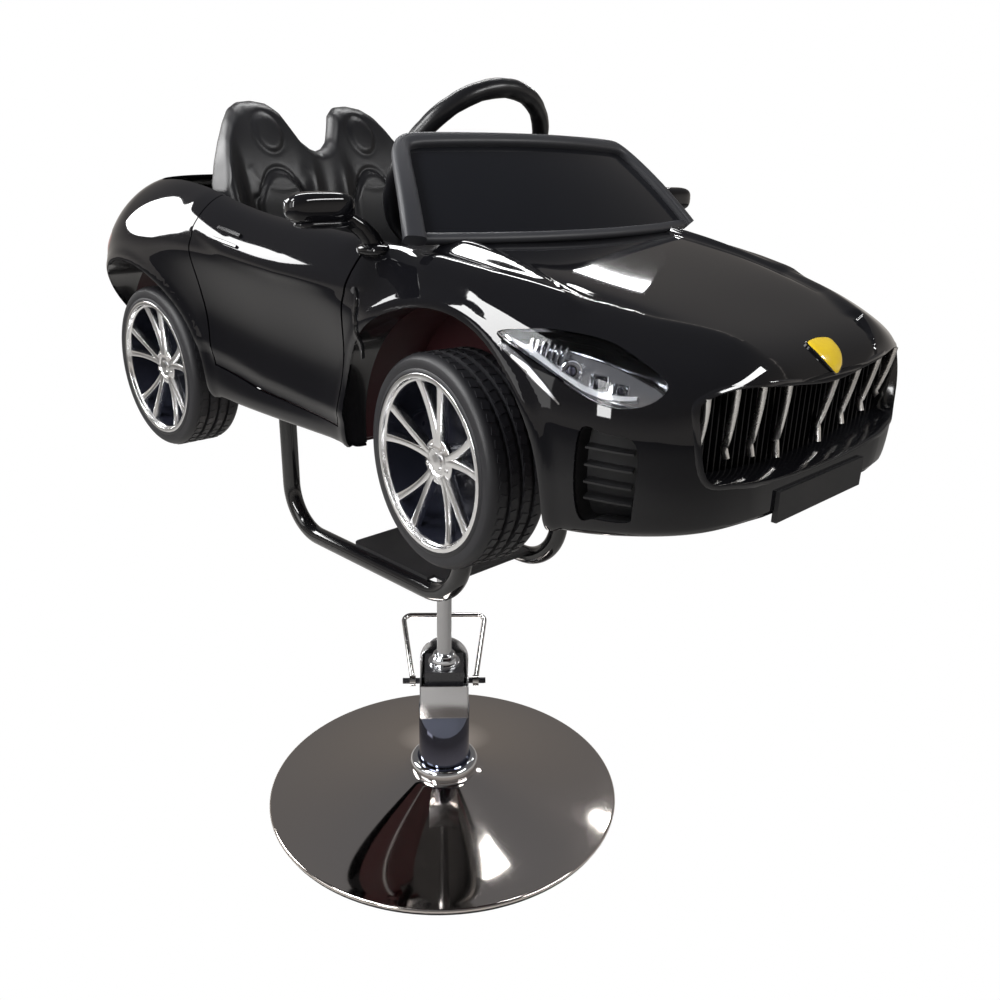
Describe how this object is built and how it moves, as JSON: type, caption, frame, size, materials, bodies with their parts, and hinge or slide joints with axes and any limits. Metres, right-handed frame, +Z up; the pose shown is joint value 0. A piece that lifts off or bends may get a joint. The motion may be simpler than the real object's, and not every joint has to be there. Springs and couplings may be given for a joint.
{
  "type": "kids car barber chair",
  "caption": "Child's barber seat shaped as an open toy roadster with a steering wheel, doors and turning wheels, on a bent tube carrier over a round hydraulic pump base.",
  "frame": {"origin": "centre of the round base, on the floor", "axes": "+Z up, the car's nose towards -Y, the car's right side towards -X"},
  "size_m": [0.7024, 1.116, 1.1373],
  "materials": {
    "rubber_black": "matte moulded rubber",
    "steel_dark": "dark painted plate",
    "chrome": "bright polished chrome",
    "steel_ground": "ground steel, satin",
    "steel_zinc": "zinc plated, dull",
    "iron_dark": "black painted casting",
    "frame_black": "gloss black paint",
    "plate_black": "matte black paint",
    "body_black": "deep gloss black",
    "tray_maroon": "dark maroon moulding",
    "grille_black": "matte black",
    "plastic_chrome": "plated plastic",
    "badge_yellow": "plain yellow, unmarked",
    "lens_clear": "clear moulded lens",
    "lens_red": "red moulded lens",
    "trim_charcoal": "grained charcoal plastic",
    "glass_smoke": "smoked clear sheet",
    "dash_black": "matte black",
    "seat_black": "satin black moulded plastic",
    "tyre": "moulded tyre",
    "wheel_grip": "soft matte black grip"
  },
  "bodies": {
    "base": {"floor_pad": "rubber_black", "ballast_plate": "steel_dark", "base_cover": "chrome", "pump_tube": "chrome", "pump_bolts": "steel_zinc", "base_collar": "chrome", "pump_barrel": "steel_ground", "rod_gland": "chrome", "pump_head": "iron_dark", "pump_bracket": "chrome"},
    "pedal": {"pedal_bail": "chrome", "cross_shaft": "steel_zinc"},
    "plunger": {"pump_plunger": "steel_ground"},
    "lift": {"piston": "steel_ground", "piston_seal": "rubber_black"},
    "car": {"piston_rod": "steel_ground", "mounting_plate": "plate_black", "frame_tube_right": "frame_black", "frame_tube_left": "frame_black", "frame_straps": "plate_black", "frame_bolts": "steel_zinc", "chassis_tray": "tray_maroon", "arch_liners": "tray_maroon", "front_shell": "body_black", "rear_shell": "body_black", "grille_insert": "grille_black", "grille_bars": "plastic_chrome", "nose_badge": "badge_yellow", "number_plate": "grille_black", "headlight_bowls": "plastic_chrome", "headlight_lenses": "lens_clear", "side_intakes": "grille_black", "tail_lamps": "lens_red", "windscreen_frame": "trim_charcoal", "windscreen_glass": "glass_smoke", "dashboard": "dash_black", "steering_tube": "trim_charcoal", "seat_back": "seat_black", "seat_pan": "seat_black", "front_axle_beam": "steel_dark", "rear_axle": "steel_zinc", "hinge_pins": "steel_zinc", "mirrors": "body_black"},
    "steering": {"steering_wheel": "wheel_grip", "steering_shaft": "steel_zinc"},
    "knuckle_r": {"knuckle_right": "steel_zinc"},
    "knuckle_l": {"knuckle_left": "steel_zinc"},
    "tie": {"tie_rod": "steel_zinc"},
    "wheel_fr": {"tyre_front_right": "tyre", "rim_front_right": "plastic_chrome"},
    "wheel_fl": {"tyre_front_left": "tyre", "rim_front_left": "plastic_chrome"},
    "wheel_rr": {"tyre_rear_right": "tyre", "rim_rear_right": "plastic_chrome"},
    "wheel_rl": {"tyre_rear_left": "tyre", "rim_rear_left": "plastic_chrome"},
    "door_r": {"door_right": "body_black", "hinge_leaf_right": "steel_zinc"},
    "door_l": {"door_left": "body_black", "hinge_leaf_left": "steel_zinc"}
  },
  "joints": [
    {"name": "lift", "type": "slide", "parent": "base", "child": "lift", "axis": [0, 0, 1], "range_m": [-0.14, 0.01]},
    {"name": "swivel", "type": "hinge", "parent": "lift", "child": "car", "pos_m": [0, 0, 0.45], "axis": [0, 0, 1], "continuous": true},
    {"name": "pedal_hinge", "type": "hinge", "parent": "base", "child": "pedal", "pos_m": [0.02395, 0.02688, 0.2], "axis": [0.7466, -0.6652, 0], "range_deg": [-32, 0], "stiffness_Nm_per_rad": 3, "springref_deg": 20.05},
    {"name": "plunger_slide", "type": "slide", "parent": "base", "child": "plunger", "axis": [0, 0, 1], "range_m": [-0.0113, 0]},
    {"name": "steering", "type": "hinge", "parent": "car", "child": "steering", "pos_m": [0.062, 0.02, 1.022], "axis": [0, 0.8192, 0.5736], "range_deg": [-31, 88]},
    {"name": "knuckle_r_hinge", "type": "hinge", "parent": "car", "child": "knuckle_r", "pos_m": [-0.17, -0.2945, 0.7295], "axis": [0, 0, 1], "range_deg": [-8.4, 23.6]},
    {"name": "knuckle_l_hinge", "type": "hinge", "parent": "car", "child": "knuckle_l", "pos_m": [0.17, -0.2945, 0.7295], "axis": [0, 0, 1], "range_deg": [-8.4, 23.6]},
    {"name": "tie_slide", "type": "slide", "parent": "car", "child": "tie", "axis": [1, 0, 0], "range_m": [-0.0185, 0.0066]},
    {"name": "wheel_fr_spin", "type": "hinge", "parent": "knuckle_r", "child": "wheel_fr", "pos_m": [-0.27804, -0.28008, 0.7295], "axis": [0.9912, -0.1323, 0], "continuous": true},
    {"name": "wheel_fl_spin", "type": "hinge", "parent": "knuckle_l", "child": "wheel_fl", "pos_m": [0.27804, -0.30892, 0.7295], "axis": [0.9912, -0.1323, 0], "continuous": true},
    {"name": "wheel_rr_spin", "type": "hinge", "parent": "car", "child": "wheel_rr", "pos_m": [-0.279, 0.3486, 0.7295], "axis": [1, 0, 0], "continuous": true},
    {"name": "wheel_rl_spin", "type": "hinge", "parent": "car", "child": "wheel_rl", "pos_m": [0.279, 0.3486, 0.7295], "axis": [1, 0, 0], "continuous": true},
    {"name": "door_r_hinge", "type": "hinge", "parent": "car", "child": "door_r", "pos_m": [-0.2725, -0.134, 0.886], "axis": [0, 0, 1], "range_deg": [0, 55]},
    {"name": "door_l_hinge", "type": "hinge", "parent": "car", "child": "door_l", "pos_m": [0.2725, -0.134, 0.886], "axis": [0, 0, 1], "range_deg": [-55, 0]}
  ],
  "couplings": [
    {"joint": "plunger_slide", "follows": "pedal_hinge", "m_per_rad": 0.02},
    {"joint": "knuckle_r_hinge", "follows": "steering", "ratio": 0.267},
    {"joint": "knuckle_l_hinge", "follows": "steering", "ratio": 0.267},
    {"joint": "tie_slide", "follows": "steering", "m_per_rad": -0.01175}
  ]
}
